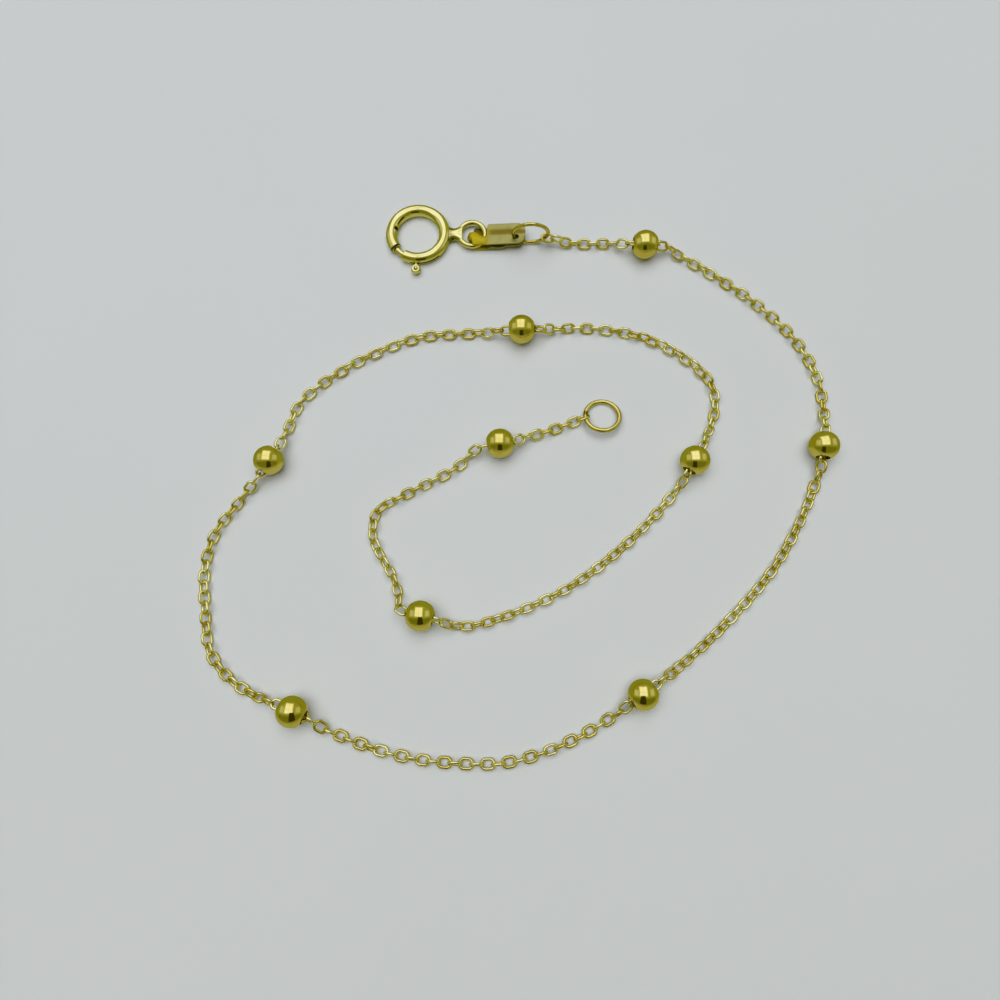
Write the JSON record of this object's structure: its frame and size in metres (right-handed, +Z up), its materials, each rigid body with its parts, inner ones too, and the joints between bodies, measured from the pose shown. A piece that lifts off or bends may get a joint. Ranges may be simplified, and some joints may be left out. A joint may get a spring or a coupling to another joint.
{
  "type": "chain anklet",
  "caption": "Fine cable chain anklet lying in an open spiral, with polished ball stations, a spring ring clasp, a folded tag and a plain end ring.",
  "frame": {"origin": "on the surface that the anklet lies on, under the middle of its bounding box", "axes": "+Z up from the surface, +X along the clasp's stretch of chain from the clasp towards the first ball, +Y from the middle of the spiral towards the clasp"},
  "size_m": [0.0542, 0.0498, 0.0035],
  "materials": {
    "chain_gold": "polished yellow gold wire",
    "bead_gold": "mirror polished yellow gold",
    "clasp_gold": "polished yellow gold",
    "tag_gold": "polished flat yellow gold sheet, bare"
  },
  "bodies": {
    "anklet": {"chain_1": "chain_gold", "chain_2": "chain_gold", "chain_3": "chain_gold", "chain_4": "chain_gold", "chain_5": "chain_gold", "chain_6": "chain_gold", "chain_7": "chain_gold", "chain_8": "chain_gold", "chain_9": "chain_gold", "chain_10": "chain_gold", "bead_1": "bead_gold", "bead_2": "bead_gold", "bead_3": "bead_gold", "bead_4": "bead_gold", "bead_5": "bead_gold", "bead_6": "bead_gold", "bead_7": "bead_gold", "bead_8": "bead_gold", "bead_9": "bead_gold", "clasp_ring": "clasp_gold", "tag": "tag_gold", "jump_ring": "clasp_gold", "end_ring": "clasp_gold"},
    "lever": {"clasp_lever": "clasp_gold"}
  },
  "joints": [
    {"name": "lever_slide", "type": "hinge", "parent": "anklet", "child": "lever", "pos_m": [-0.00944, 0.02201, 0.0005], "axis": [0, 0, 1], "range_deg": [0, 37], "stiffness_Nm_per_rad": 0.002, "springref_deg": -17.19}
  ]
}
